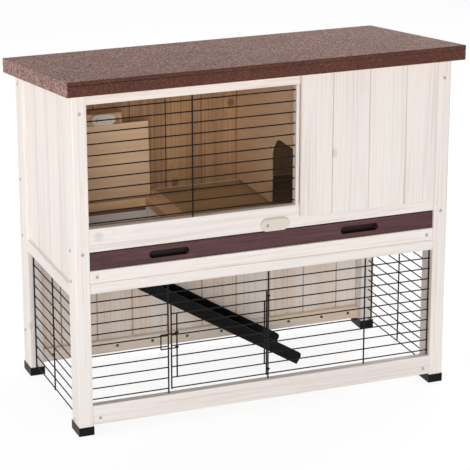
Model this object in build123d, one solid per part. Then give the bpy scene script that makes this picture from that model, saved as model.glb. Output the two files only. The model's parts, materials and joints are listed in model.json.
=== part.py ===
from build123d import *
import math
import os

# Two-storey wooden rabbit hutch. Millimetres, +Z up, front towards -Y.
# The origin is on the ground, under the middle of the roof.

# Overall sizes
WIDTH = 930.0            # across the outer faces of the posts
DEPTH = 455.0            # across the posts, front to back
HEIGHT = 851.0           # ground to the roof's front top edge
ROOF_SIDE = 20.0         # roof overhangs beyond the posts
ROOF_FRONT = 34.0
ROOF_BACK = 36.0
ROOF_FALL = 63.0         # how much lower the roof's back edge is than its front edge
ROOF_EDGE = 35.0         # depth of the roof's edge

# Posts and feet
POST_W = 34.0
POST_D = 56.0
FOOT_H = 21.0
FOOT_WALL = 1.5
FOOT_SOLE = 3.0

# Front rails: heights of their lower edges, and their own depths
RAIL_T = 20.0
RAIL_SET = 6.0           # how far the rails behind the nest boards lie back
BOTTOM_RAIL_Z = 24.0
BOTTOM_RAIL_H = 47.5
RUN_RAIL_Z = 345.0
RUN_RAIL_H = 24.0
MID_RAIL_H = 30.0
MID_RAIL_SET = 2.0
TRAY_FRONT_H = 41.0
LIP_GAP = 2.0
LIP_H = 55.0
TOP_RAIL_H = 25.7
SIDE_RAIL_Z = 327.0
SIDE_RAIL_H = 28.0

# Boards
BOARD_PITCH = 93.4
BOARD_T = 10.0
BOARD_V = 1.6            # chamfer that makes the V between two boards
NEST_BOARD_T = 8.0
NEST_X = 82.0            # left edge of the nest's front boards
NEST_DROP = 28.0         # how far they hang below the top of the lip rail
STILE_W = 8.0
SIDE_BOARD_SET = 9.0
BACK_BOARD_SET = 12.0
BACK_BOARD_GAP = 1.0     # back boards above the foot caps
BACK_BATTEN_Z = 24.0
BACK_BATTEN_H = 33.0
BACK_BATTEN_T = 15.0
BACK_BATTEN_R = 9.0      # rounded upper corners
BACK_RAIL_H = 50.0

# Nest partition and its round-cornered doorway
PLY_T = 4.0
PARTITION_X = 98.0
DOORWAY_W = 172.0
DOORWAY_H = 173.5
DOORWAY_R = 55.0
DOORWAY_FROM_FRONT = 12.5

# Pull-out floor tray
TRAY_SIDE_GAP = 1.0
TRAY_LIFT = 0.5          # tray front above the rail below it
TRAY_FRONT_T = 14.0
TRAY_PANEL_T = 9.0
TRAY_PANEL_DROP = 4.0    # panel's top below the top of the tray front
TRAY_BACK_GAP = 4.0
RUNNER_W = 15.0
RUNNER_H = 10.0
RUNNER_GAP = 0.3
GUIDE_W = 30.0
GUIDE_H = 18.0
SLOT_L = 98.0
SLOT_H = 18.0
SLOT_X = 238.5

# Ramp hole, its frame and its lid
HOLE_W = 248.0
HOLE_D = 158.5           # back edge of the hole to the middle of the floor bearer
HOLE_STRIP_W = 46.0
HOLE_GAP = 1.0
BEARER_T = 18.0
ROD_COVER = 12.0         # wood below the middle of the ramp's rod
LID_LAP = 6.0            # lid beyond the hole on the left
LID_LAP_RIGHT = 13.0
LID_LEN = 182.0
LID_T = 9.0
LID_EDGE = 6.0           # lid's lower edge to its rod
LID_LEAN = 3.0
LID_WALL_GAP = 38.0      # raised lid's top from the back boards
LID_AXIS_UP = 8.0        # rod above the floor
LID_ROD_R = 2.0
LID_EAR = 8.0
EAR_GAP = 1.0
STOP_H = 24.0            # stop behind the raised lid's top
STOP_GAP = 0.3
PIN_FIT = 0.06           # radial clearance of turning pins

# Ramp
RAMP_W = 146.0
RAMP_TILT = 31.5
RAMP_WALL = 3.5
RAMP_SIDE_H = 30.0
RAMP_INSET = 12.0        # ramp's rod from the left edge of the hole
RAMP_TOP_Z = 363.0
RAMP_ROD_R = 4.0
RAMP_EYE_R = 7.5
RAMP_DECK_DROP = 5.5     # underside of the deck below the rod
RAMP_SIDE_START = 5.0    # raised sides begin this far past the rod
CLEAT_PITCH = 70.0
CLEAT_W = 6.0
CLEAT_H = 4.0
GROUND_GAP = 2.0

# Wire
WIRE_R = 1.5             # level wires
BAR_R = 1.8              # uprights
WELD = 0.4
WIRE_PITCH = 26.4
WIRE_SET = 11.0          # wire behind the face of the posts
RUN_WIRES = 10
RUN_WIRE_Z = 82.0
SIDE_WIRES = 12
SIDE_WIRE_Z = 27.0
WINDOW_WIRE_UP = 10.5    # lowest window wire above the lip rail
WINDOW_BAR_X = -179.0
BAR_EDGE = 4.0           # last upright from the right-hand post
BAR_STEP = 249.6         # from the door's hinge bar to the next upright
SIDE_BAR_EDGE = 14.0

# Wire door and its hook
DOOR_HINGE_X = 8.4
DOOR_W = 250.4           # between the two frame bars beside the door
DOOR_EDGE = 7.5          # door's free bar from the frame's bar
HOOK_BAR = 21.3          # short bars from the two frame bars
SHORT_BAR = 9.4
EYE_WIRE_R = 1.5
EYE_LOW = 0.5            # heights of the hinge eyes, in wire pitches
EYE_HIGH = 7.5
HOOK_R = 1.5
HOOK_LOW = 184.0
HOOK_HIGH = 220.0
HOOK_REACH = 41.0
HOOK_CLEAR = 0.8

# Turn buttons
BUTTON_L = 70.0
BUTTON_W = 30.0
BUTTON_T = 8.0
BUTTON_RIM = 1.5
BUTTON_GAP = 0.3
BUTTON_ABOVE = 15.0      # front button's screw above the lip rail's lower edge
INNER_BUTTON_UP = 2.0    # block's lower edge above the raised lid
INNER_BUTTON_AHEAD = 2.5 # block's face ahead of the raised lid's top
INNER_BUTTON_L = 62.0
INNER_BUTTON_W = 28.0
INNER_BLOCK_L = 131.0
SCREW_R = 2.0
SCREW_HEAD_R = 4.0
SCREW_HEAD_H = 1.6

# Roof build-up and hinges
FELT_T = 3.0
FELT_SIDE_T = 2.5
ROOF_BOARD_T = 10.0
FASCIA_T = 12.0
ROOF_BATTEN_W = 48.0
ROOF_BACK_BATTEN_W = 60.0
ROOF_SEAT = 0.3
HINGE_X = 300.0
HINGE_L = 60.0
KNUCKLE_L = 24.0
KNUCKLE_GAP = 0.4
KNUCKLE_R = 4.0
HINGE_PIN_R = 2.0
LEAF_T = 1.5
LEAF_H = 30.0
LEAF_REACH = 24.0
HINGE_DROP = 4.5         # pin below the roof's underside
HINGE_OUT = 4.2          # pin behind the back rail

# Derived lines and faces
ROOF_W = WIDTH + 2 * ROOF_SIDE
ROOF_D = DEPTH + ROOF_FRONT + ROOF_BACK
ROOF_Y0 = -ROOF_D / 2
ROOF_Y1 = ROOF_D / 2
FRONT = ROOF_Y0 + ROOF_FRONT
BACK = ROOF_Y1 - ROOF_BACK
OUT_X = WIDTH / 2
IN_X = OUT_X - POST_W
FRONT_IN = FRONT + POST_D
BACK_IN = BACK - POST_D
MID_RAIL_Z = RUN_RAIL_Z + RUN_RAIL_H
TRAY_Z = MID_RAIL_Z + MID_RAIL_H + TRAY_LIFT
TRAY_TOP = TRAY_Z + TRAY_FRONT_H
LIP_Z = TRAY_TOP + LIP_GAP
LIP_TOP = LIP_Z + LIP_H
RAIL_Y = (FRONT + RAIL_SET, FRONT + RAIL_SET + RAIL_T)
SIDE_BOARD_X = OUT_X - SIDE_BOARD_SET
SIDE_IN = SIDE_BOARD_X - BOARD_T
BACK_FACE = BACK - BACK_BOARD_SET
BACK_INNER = BACK_FACE - BOARD_T
SIDE_RAIL_TOP = SIDE_RAIL_Z + SIDE_RAIL_H
FLOOR_TOP = TRAY_TOP - TRAY_PANEL_DROP
PANEL_Z = FLOOR_TOP - TRAY_PANEL_T
RUNNER_Z = PANEL_Z - RUNNER_H
GUIDE_TOP = RUNNER_Z - RUNNER_GAP
GUIDE_IN = SIDE_IN - GUIDE_W
WIRE_Y = FRONT + WIRE_SET
LEVEL_Y = WIRE_Y + BAR_R + WIRE_R - WELD
LID_AXIS_Z = FLOOR_TOP + LID_AXIS_UP
STILE_X = NEST_X - STILE_W
HOLE_X = -GUIDE_IN + HOLE_W
LEAN = math.radians(LID_LEAN)
LID_BACK = LID_LEN * math.sin(LEAN) + LID_T / 2 * math.cos(LEAN)
LID_AXIS_Y = BACK_INNER - LID_WALL_GAP - LID_BACK
HOLE_BACK = LID_AXIS_Y - LID_EAR
HOLE_FRONT = HOLE_BACK - HOLE_D


def under_roof(y):
    """Height of the roof's underside at depth y."""
    return HEIGHT - ROOF_EDGE - ROOF_FALL * (y - ROOF_Y0) / ROOF_D


WINDOW_TOP = under_roof(RAIL_Y[0]) - TOP_RAIL_H


def block(x, y, z):
    """Box between three (low, high) spans."""
    size = Box(x[1] - x[0], y[1] - y[0], z[1] - z[0])
    return Pos((x[0] + x[1]) / 2, (y[0] + y[1]) / 2, (z[0] + z[1]) / 2) * size


def prism_x(points, x):
    """Solid of a (y, z) outline drawn out along X between two ends."""
    outline = make_face(Polyline(*[(x[0], y, z) for y, z in points], close=True))
    return extrude(outline, amount=x[1] - x[0], dir=(1, 0, 0))


def roof_layer(x, y, low, high):
    """Sloping slab between two heights above the roof's underside."""
    outline = [
        (y[0], under_roof(y[0]) + low),
        (y[1], under_roof(y[1]) + low),
        (y[1], under_roof(y[1]) + high),
        (y[0], under_roof(y[0]) + high),
    ]
    return prism_x(outline, x)


def trim_to_roof(solid):
    """Cuts a standing piece off just under the roof."""
    above = roof_layer((-ROOF_W, ROOF_W), (ROOF_Y0, ROOF_Y1), -ROOF_SEAT, HEIGHT)
    return solid - above


def rod_x(x, y, z, radius):
    return Pos((x[0] + x[1]) / 2, y, z) * Rot(0, 90, 0) * Cylinder(radius, x[1] - x[0])


def rod_y(x, y, z, radius):
    return Pos(x, (y[0] + y[1]) / 2, z) * Rot(90, 0, 0) * Cylinder(radius, y[1] - y[0])


def rod_z(x, y, z, radius):
    return Pos(x, y, (z[0] + z[1]) / 2) * Cylinder(radius, z[1] - z[0])


def fuse(pieces):
    return pieces[0] + pieces[1:]


def board_edges(low, high, joint):
    """Edges of upright boards between two ends, with a joint at one given place."""
    first = joint - BOARD_PITCH * math.floor((joint - low) / BOARD_PITCH - 1e-6)
    count = int(math.floor((high - first) / BOARD_PITCH - 1e-6)) + 1
    return [low] + [first + BOARD_PITCH * i for i in range(count)] + [high]


def upright_board(x, thick, z):
    """Board with its outer face at y = 0 and its edges chamfered on both faces."""
    outline = Polyline(
        (x[0] + BOARD_V, 0),
        (x[1] - BOARD_V, 0),
        (x[1], BOARD_V),
        (x[1], thick - BOARD_V),
        (x[1] - BOARD_V, thick),
        (x[0] + BOARD_V, thick),
        (x[0], thick - BOARD_V),
        (x[0], BOARD_V),
        close=True,
    )
    return Pos(0, 0, z[0]) * extrude(make_face(outline), amount=z[1] - z[0])


def pan_head(place):
    """Screw head standing on a face; place carries its outward Z."""
    return place * Pos(0, 0, SCREW_HEAD_H / 2) * Cylinder(SCREW_HEAD_R, SCREW_HEAD_H)


nodes = {}

# Posts, tops cut to the roof's slope, each in a plastic foot cap
post_places = {
    "front_left": (-OUT_X, FRONT),
    "front_right": (IN_X, FRONT),
    "back_left": (-OUT_X, BACK_IN),
    "back_right": (IN_X, BACK_IN),
}
caps = []
for name, (x0, y0) in post_places.items():
    x_span = (x0, x0 + POST_W)
    y_span = (y0, y0 + POST_D)
    nodes["post_" + name] = trim_to_roof(block(x_span, y_span, (FOOT_SOLE, HEIGHT)))
    cup = block(
        (x_span[0] - FOOT_WALL, x_span[1] + FOOT_WALL),
        (y_span[0] - FOOT_WALL, y_span[1] + FOOT_WALL),
        (0, FOOT_H),
    )
    caps.append(cup - block(x_span, y_span, (FOOT_SOLE, FOOT_H)))
nodes["foot_caps"] = Compound(caps)

# Front rails between the posts
front_span = (-IN_X, IN_X)
nodes["rail_front_bottom"] = block(
    front_span, (FRONT, FRONT + RAIL_T), (BOTTOM_RAIL_Z, BOTTOM_RAIL_Z + BOTTOM_RAIL_H)
)
nodes["rail_front_run"] = block(front_span, (FRONT, FRONT + RAIL_T), (RUN_RAIL_Z, MID_RAIL_Z))
nodes["rail_front_mid"] = block(
    front_span,
    (FRONT + MID_RAIL_SET, FRONT + MID_RAIL_SET + RAIL_T),
    (MID_RAIL_Z, MID_RAIL_Z + MID_RAIL_H),
)
nodes["rail_front_lip"] = block(front_span, RAIL_Y, (LIP_Z, LIP_TOP))
nodes["rail_front_top"] = trim_to_roof(
    block(front_span, RAIL_Y, (WINDOW_TOP, HEIGHT))
)

# Side rails, flush with the posts, and the upright boards that stand on them
side_edges = board_edges(FRONT_IN, BACK_IN, (FRONT_IN + BACK_IN) / 2)
for side, name in ((-1, "left"), (1, "right")):
    rail_x = sorted((side * OUT_X, side * (OUT_X - RAIL_T)))
    nodes["rail_side_" + name] = block(
        rail_x, (FRONT_IN, BACK_IN), (SIDE_RAIL_Z, SIDE_RAIL_TOP)
    )
    planks = []
    for edge in zip(side_edges, side_edges[1:]):
        flat = upright_board(edge, BOARD_T, (SIDE_RAIL_TOP, HEIGHT))
        if side < 0:
            turned = Pos(-SIDE_BOARD_X, 0, 0) * Rot(0, 0, -90) * flat
            turned = turned.mirror(Plane.XZ)
        else:
            turned = Pos(SIDE_BOARD_X, 0, 0) * Rot(0, 0, 90) * flat
        planks.append(trim_to_roof(turned))
    nodes["side_boards_" + name] = Compound(planks)

# Back: upright boards between the posts, a rail outside at the top, a batten inside at the foot
back_planks = []
back_edges = board_edges(-IN_X, IN_X, 0.0)
for edge in zip(back_edges, back_edges[1:]):
    flat = upright_board(edge, BOARD_T, (FOOT_H + BACK_BOARD_GAP, HEIGHT))
    back_planks.append(trim_to_roof(Pos(0, BACK_FACE, 0) * flat.mirror(Plane.XZ)))
nodes["back_boards"] = Compound(back_planks)
back_rail_z = under_roof(BACK) - BACK_RAIL_H
nodes["rail_back_top"] = trim_to_roof(
    block(front_span, (BACK_FACE, BACK), (back_rail_z, HEIGHT))
)
batten = block(
    front_span,
    (BACK_INNER - BACK_BATTEN_T, BACK_INNER),
    (BACK_BATTEN_Z, BACK_BATTEN_Z + BACK_BATTEN_H),
)
batten_corners = batten.edges().filter_by(Axis.Y).group_by(Axis.Z)[-1]
nodes["batten_back_bottom"] = fillet(batten_corners, BACK_BATTEN_R)

# Nest: front boards over the rails, the stile beside the window, and the partition
nest_mid = (NEST_X + IN_X) / 2
nest_edges = board_edges(NEST_X, IN_X, nest_mid)
for number, edge in enumerate(zip(nest_edges, nest_edges[1:]), 1):
    flat = upright_board(edge, NEST_BOARD_T, (LIP_TOP - NEST_DROP, HEIGHT))
    placed = Pos(0, RAIL_Y[0] - NEST_BOARD_T, 0) * flat
    nodes["nest_board_%d" % number] = trim_to_roof(placed)
nodes["window_stile"] = block((STILE_X, NEST_X), RAIL_Y, (LIP_TOP, WINDOW_TOP))

doorway_y = RAIL_Y[1] + DOORWAY_FROM_FRONT
partition_x = (PARTITION_X, PARTITION_X + PLY_T)
partition_z = FLOOR_TOP + LIP_GAP
partition = block(partition_x, (RAIL_Y[1], BACK_INNER), (partition_z, HEIGHT))
doorway = block(
    (PARTITION_X - PLY_T, PARTITION_X + 2 * PLY_T),
    (doorway_y, doorway_y + DOORWAY_W),
    (partition_z - PLY_T, FLOOR_TOP + DOORWAY_H),
)
doorway_corners = doorway.edges().filter_by(Axis.X).group_by(Axis.Z)[-1]
nodes["nest_partition"] = trim_to_roof(partition - fillet(doorway_corners, DOORWAY_R))

# Fixed floor parts: tray guides, the bearer, and the strips round the ramp hole
guides = []
for side in (-1, 1):
    guide_x = sorted((side * GUIDE_IN, side * SIDE_IN))
    guides.append(block(guide_x, (FRONT_IN, BACK_IN), (GUIDE_TOP - GUIDE_H, GUIDE_TOP)))
nodes["tray_guides"] = Compound(guides)
bearer_z = RAMP_TOP_Z - ROD_COVER
nodes["floor_bearer"] = block(
    (-GUIDE_IN, GUIDE_IN),
    (HOLE_FRONT - BEARER_T / 2, HOLE_FRONT + BEARER_T / 2),
    (bearer_z, GUIDE_TOP),
)
nodes["hole_strip_right"] = block(
    (HOLE_X, HOLE_X + HOLE_STRIP_W), (HOLE_FRONT, BACK_INNER), (GUIDE_TOP, FLOOR_TOP)
)
strip_back = block((-GUIDE_IN, HOLE_X), (HOLE_BACK, BACK_INNER), (bearer_z, FLOOR_TOP))
strip_back += block((-SIDE_IN, -GUIDE_IN), (HOLE_BACK, BACK_IN), (GUIDE_TOP, FLOOR_TOP))
nodes["hole_strip_back"] = strip_back

# Pull-out tray: painted front with two finger slots, floor panel notched for the hole, runners
tray_x = (-IN_X + TRAY_SIDE_GAP, IN_X - TRAY_SIDE_GAP)
tray_front_y = (RAIL_Y[0], RAIL_Y[0] + TRAY_FRONT_T)
tray_front = block(tray_x, tray_front_y, (TRAY_Z, TRAY_TOP))
slot_face = Plane((0, tray_front_y[0], (TRAY_Z + TRAY_TOP) / 2), (1, 0, 0), (0, -1, 0))
for x in (-SLOT_X, SLOT_X):
    slot = Pos(x, 0, 0) * SlotOverall(SLOT_L, SLOT_H)
    tray_front -= extrude(slot_face * slot, amount=TRAY_FRONT_T, both=True)
nodes["tray_front"] = tray_front
panel_y = (tray_front_y[1], BACK_INNER - TRAY_BACK_GAP)
tray_panel = block(tray_x, panel_y, (PANEL_Z, FLOOR_TOP))
notch = block(
    (-OUT_X, HOLE_X + HOLE_STRIP_W + HOLE_GAP),
    (HOLE_FRONT - HOLE_GAP, OUT_X),
    (RUNNER_Z, TRAY_TOP),
)
nodes["tray_panel"] = tray_panel - notch
runner_x = (tray_x[1] - RUNNER_W, tray_x[1])
runner_right = block(runner_x, panel_y, (RUNNER_Z, PANEL_Z))
runner_left = block(
    (tray_x[0], tray_x[0] + RUNNER_W),
    (panel_y[0], HOLE_FRONT - HOLE_GAP),
    (RUNNER_Z, PANEL_Z),
)
nodes["tray_runners"] = Compound([runner_left, runner_right])

# Ramp-hole lid: a panel bored along its lower edge for a steel rod held in two ears
lid_x = (-GUIDE_IN - LID_LAP, HOLE_X + LID_LAP_RIGHT)
lid_hinge = Pos(0, LID_AXIS_Y, LID_AXIS_Z) * Rot(-LID_LEAN, 0, 0)
lid = block(lid_x, (-LID_T / 2, LID_T / 2), (-LID_EDGE, LID_LEN))
lid -= rod_x((-WIDTH, WIDTH), 0, 0, LID_ROD_R + PIN_FIT)
nodes["hole_lid"] = lid_hinge * lid
ear_y = (LID_AXIS_Y - LID_EAR, LID_AXIS_Y + LID_EAR)
ear_z = (FLOOR_TOP, LID_AXIS_Z + LID_EAR)
ear_left = block((lid_x[0] - EAR_GAP - LID_EAR, lid_x[0] - EAR_GAP), ear_y, ear_z)
ear_right = block((lid_x[1] + EAR_GAP, lid_x[1] + EAR_GAP + LID_EAR), ear_y, ear_z)
rod_span = (lid_x[0] - EAR_GAP, lid_x[1] + EAR_GAP)
nodes["lid_rod"] = rod_x(rod_span, LID_AXIS_Y, LID_AXIS_Z, LID_ROD_R)
nodes["lid_ears"] = Compound([ear_left, ear_right])

# Moulded ramp with raised sides and cleats, turning on a rod under the hole
ramp_mid = (HOLE_FRONT + BEARER_T / 2 + HOLE_BACK) / 2
ramp_y = (ramp_mid - RAMP_W / 2, ramp_mid + RAMP_W / 2)
tilt = math.radians(RAMP_TILT)
ramp_len = (RAMP_TOP_Z - GROUND_GAP - RAMP_DECK_DROP * math.cos(tilt)) / math.sin(tilt)
deck_top = -RAMP_DECK_DROP + RAMP_WALL
ramp_flat = block((0, ramp_len), ramp_y, (-RAMP_DECK_DROP, deck_top))
side_x = (RAMP_SIDE_START, ramp_len)
side_z = (-RAMP_DECK_DROP, -RAMP_DECK_DROP + RAMP_SIDE_H)
for y in (ramp_y[0], ramp_y[1] - RAMP_WALL):
    wall = block(side_x, (y, y + RAMP_WALL), side_z)
    corners = wall.edges().filter_by(Axis.Y).group_by(Axis.Z)[-1]
    ramp_flat += fillet(corners, RAMP_SIDE_H / 3)
cleat_count = int((ramp_len - CLEAT_PITCH) // CLEAT_PITCH)
cleats = []
for i in range(1, cleat_count + 1):
    cleat_x = (i * CLEAT_PITCH, i * CLEAT_PITCH + CLEAT_W)
    cleats.append(block(cleat_x, ramp_y, (deck_top, deck_top + CLEAT_H)))
ramp_flat += cleats
ramp_flat += rod_y(0, ramp_y, 0, RAMP_EYE_R)
ramp_flat -= rod_y(0, ramp_y, 0, RAMP_ROD_R + PIN_FIT)
ramp_top_x = -GUIDE_IN + RAMP_INSET
nodes["ramp"] = Pos(ramp_top_x, 0, RAMP_TOP_Z) * Rot(0, RAMP_TILT, 0) * ramp_flat
nodes["ramp_rod"] = rod_y(
    ramp_top_x, (HOLE_FRONT + BEARER_T / 2, HOLE_BACK), RAMP_TOP_Z, RAMP_ROD_R
)

# Welded wire: window, the two halves of the run's front, and the sides
window_bar = rod_z(WINDOW_BAR_X, WIRE_Y, (LIP_TOP, WINDOW_TOP), BAR_R)
window_count = int((WINDOW_TOP - LIP_TOP - WINDOW_WIRE_UP) // WIRE_PITCH) + 1
window_wires = [
    rod_x((-IN_X, STILE_X), LEVEL_Y, LIP_TOP + WINDOW_WIRE_UP + i * WIRE_PITCH, WIRE_R)
    for i in range(window_count)
]
nodes["window_mesh"] = fuse([window_bar] + window_wires)

run_z = (BOTTOM_RAIL_Z + BOTTOM_RAIL_H, RUN_RAIL_Z)
run_levels = [RUN_WIRE_Z + i * WIRE_PITCH for i in range(RUN_WIRES)]
door_frame_x = DOOR_HINGE_X - DOOR_W
left_x = (-IN_X, door_frame_x + BAR_R)
left_wires = [rod_x(left_x, LEVEL_Y, z, WIRE_R) for z in run_levels[:-1]]
nodes["run_mesh_left"] = fuse([rod_z(door_frame_x, WIRE_Y, run_z, BAR_R)] + left_wires)
right_x = (DOOR_HINGE_X - WIRE_R / 3, IN_X)
right_wires = [rod_x(right_x, LEVEL_Y, z, WIRE_R) for z in run_levels[:-1]]
right_bar_x = (DOOR_HINGE_X, DOOR_HINGE_X + BAR_STEP, IN_X - BAR_EDGE)
right_bars = [rod_z(x, WIRE_Y, run_z, BAR_R) for x in right_bar_x]
nodes["run_mesh_right"] = fuse(right_bars + right_wires)
top_wire_y = WIRE_Y + BAR_R + WIRE_R
nodes["run_top_wire"] = rod_x(front_span, top_wire_y, run_levels[-1], WIRE_R)

side_levels = [SIDE_WIRE_Z + i * WIRE_PITCH for i in range(SIDE_WIRES)]
side_mid = (FRONT_IN + BACK_IN) / 2
side_bar_y = (FRONT_IN + SIDE_BAR_EDGE, side_mid, BACK_IN - SIDE_BAR_EDGE)
for side, name in ((-1, "left"), (1, "right")):
    bar_x = side * (OUT_X - WIRE_SET)
    level_x = side * (OUT_X - WIRE_SET - BAR_R - WIRE_R + WELD)
    bars = [rod_z(bar_x, y, (SIDE_WIRE_Z, SIDE_RAIL_Z), BAR_R) for y in side_bar_y]
    wires = [rod_y(level_x, (FRONT_IN, BACK_IN), z, WIRE_R) for z in side_levels]
    nodes["side_mesh_" + name] = fuse(bars + wires)

# Wire door: hangs by two eyes on the frame's second bar
eye_r = BAR_R + PIN_FIT + EYE_WIRE_R
door_bar_x = DOOR_HINGE_X - eye_r - EYE_WIRE_R / 2
door_free_x = door_frame_x + DOOR_EDGE
door_z = (run_levels[0] - WIRE_R, run_levels[-2] + WIRE_R)
short_z = (run_levels[1], run_levels[-3])
hook_bar_x = door_frame_x + HOOK_BAR
door = [rod_z(x, WIRE_Y, door_z, BAR_R) for x in (door_free_x, door_bar_x)]
door += [rod_z(x, WIRE_Y, short_z, BAR_R) for x in (hook_bar_x, DOOR_HINGE_X - SHORT_BAR)]
door += [rod_x((door_free_x, door_bar_x), LEVEL_Y, z, WIRE_R) for z in run_levels[:-1]]
for share in (EYE_LOW, EYE_HIGH):
    eye_z = run_levels[0] + share * WIRE_PITCH
    door.append(Pos(DOOR_HINGE_X, WIRE_Y, eye_z) * Torus(eye_r, EYE_WIRE_R))
nodes["wire_door"] = fuse(door)

# Hook: a bent wire that turns on the door's short bar and reaches over the frame's bar
hook_y = WIRE_Y - BAR_R - HOOK_CLEAR - HOOK_R
hook_eye_r = BAR_R + PIN_FIT + HOOK_R
hook_end = hook_bar_x - HOOK_REACH
hook = [rod_z(hook_end, hook_y, (HOOK_LOW, HOOK_HIGH), HOOK_R)]
for z in (HOOK_LOW, HOOK_HIGH):
    hook.append(rod_x((hook_end, hook_bar_x), hook_y, z, HOOK_R))
    hook.append(Pos(hook_bar_x, WIRE_Y, z) * Torus(hook_eye_r, HOOK_R))
    hook.append(Pos(hook_end, hook_y, z) * Sphere(HOOK_R))
nodes["door_hook"] = fuse(hook)


# Turn buttons: chamfered wooden pills on a screw; they lie level, clear of what they lock
def turn_button(length, width, face_y, x, z):
    """Pill pointing to +X from its screw, with its back at face_y."""
    flat = Plane((x, face_y, z), (1, 0, 0), (0, -1, 0))
    outline = Pos((length - width) / 2, 0, 0) * SlotOverall(length, width)
    pill = extrude(flat * outline, amount=BUTTON_T)
    pill = chamfer(pill.faces().sort_by(Axis.Y)[0].edges(), BUTTON_RIM)
    return pill - rod_y(x, (face_y - 2 * BUTTON_T, face_y + BUTTON_T), z, SCREW_R + PIN_FIT)


def button_screw(face_y, x, z):
    """Shank through the button and a pan head in front of it."""
    shank_end = face_y - BUTTON_GAP - BUTTON_T - BUTTON_GAP
    shank = rod_y(x, (shank_end, face_y), z, SCREW_R)
    head = rod_y(x, (shank_end - SCREW_HEAD_H, shank_end), z, SCREW_HEAD_R)
    return shank + head


front_button_z = LIP_Z + BUTTON_ABOVE + BUTTON_GAP
nodes["front_button"] = turn_button(
    BUTTON_L, BUTTON_W, RAIL_Y[0] - BUTTON_GAP, 0.0, front_button_z
)
nodes["front_button_screw"] = button_screw(RAIL_Y[0], 0.0, front_button_z)
lid_back_top = LID_AXIS_Y + LID_BACK
inner_face = lid_back_top - LID_T * math.cos(LEAN) - INNER_BUTTON_AHEAD
inner_x = (lid_x[0] + lid_x[1]) / 2
inner_span = (inner_x - INNER_BLOCK_L / 2, inner_x + INNER_BLOCK_L / 2)
lid_top = LID_AXIS_Z + LID_LEN * math.cos(LEAN)
block_z = lid_top + INNER_BUTTON_UP
inner_z = block_z + INNER_BUTTON_W / 2
nodes["inner_button_block"] = block(
    inner_span, (inner_face, BACK_INNER), (block_z, block_z + INNER_BUTTON_W)
)
nodes["lid_stop"] = block(
    inner_span, (lid_back_top + STOP_GAP, BACK_INNER), (lid_top - STOP_H, block_z)
)
nodes["inner_button"] = turn_button(
    INNER_BUTTON_L, INNER_BUTTON_W, inner_face - BUTTON_GAP, inner_x, inner_z
)
nodes["inner_button_screw"] = button_screw(inner_face, inner_x, inner_z)

# Roof: battens, board, painted fascia, and felt folded down over both ends
roof_y = (ROOF_Y0 + FASCIA_T, ROOF_Y1)
roof_in = ROOF_W / 2 - FELT_SIDE_T
board_low = ROOF_EDGE - FELT_T - ROOF_BOARD_T
board_high = ROOF_EDGE - FELT_T
roof_x = (-roof_in, roof_in)
nodes["roof_board"] = roof_layer(roof_x, roof_y, board_low, board_high)
nodes["roof_fascia"] = roof_layer(roof_x, (ROOF_Y0, roof_y[0]), 0, board_high)
felt = roof_layer((-ROOF_W / 2, ROOF_W / 2), (ROOF_Y0, ROOF_Y1), 0, ROOF_EDGE)
nodes["roof_felt"] = felt - roof_layer(roof_x, (ROOF_Y0, ROOF_Y1), 0, board_high)
nodes["roof_batten_left"] = roof_layer((-roof_in, -roof_in + ROOF_BATTEN_W), roof_y, 0, board_low)
nodes["roof_batten_right"] = roof_layer((roof_in - ROOF_BATTEN_W, roof_in), roof_y, 0, board_low)
between = (-roof_in + ROOF_BATTEN_W, roof_in - ROOF_BATTEN_W)
nodes["roof_batten_front"] = roof_layer(
    between, (roof_y[0], roof_y[0] + ROOF_BATTEN_W), 0, board_low
)
nodes["roof_batten_back"] = roof_layer(
    between, (ROOF_Y1 - ROOF_BACK_BATTEN_W, ROOF_Y1), 0, board_low
)

# Roof hinges: the fixed leaf carries the pin, the roof's leaf turns on it
pin_y = BACK + HINGE_OUT
pin_z = under_roof(pin_y) - HINGE_DROP
fixed_leaves = []
roof_leaves = []
for x in (-HINGE_X, HINGE_X):
    whole = (x - HINGE_L / 2, x + HINGE_L / 2)
    middle = (x - KNUCKLE_L / 2, x + KNUCKLE_L / 2)
    leaf = block(whole, (BACK, BACK + LEAF_T), (pin_z - LEAF_H, pin_z))
    leaf += rod_x(whole, pin_y, pin_z, KNUCKLE_R)
    room = (middle[0] - KNUCKLE_GAP, middle[1] + KNUCKLE_GAP)
    leaf -= rod_x(room, pin_y, pin_z, KNUCKLE_R + KNUCKLE_GAP)
    fixed_leaves.append(leaf + rod_x(whole, pin_y, pin_z, HINGE_PIN_R))
    reach = (pin_y + KNUCKLE_R + KNUCKLE_GAP, pin_y + LEAF_REACH)
    flap = roof_layer(whole, reach, -LEAF_T, 0)
    flap += roof_layer(middle, (pin_y, reach[1]), -LEAF_T, 0)
    flap += rod_x(middle, pin_y, pin_z, KNUCKLE_R)
    roof_leaves.append(flap - rod_x(whole, pin_y, pin_z, HINGE_PIN_R + PIN_FIT))
nodes["hinge_leaves_fixed"] = Compound(fixed_leaves)
nodes["hinge_leaves_roof"] = Compound(roof_leaves)

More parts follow.
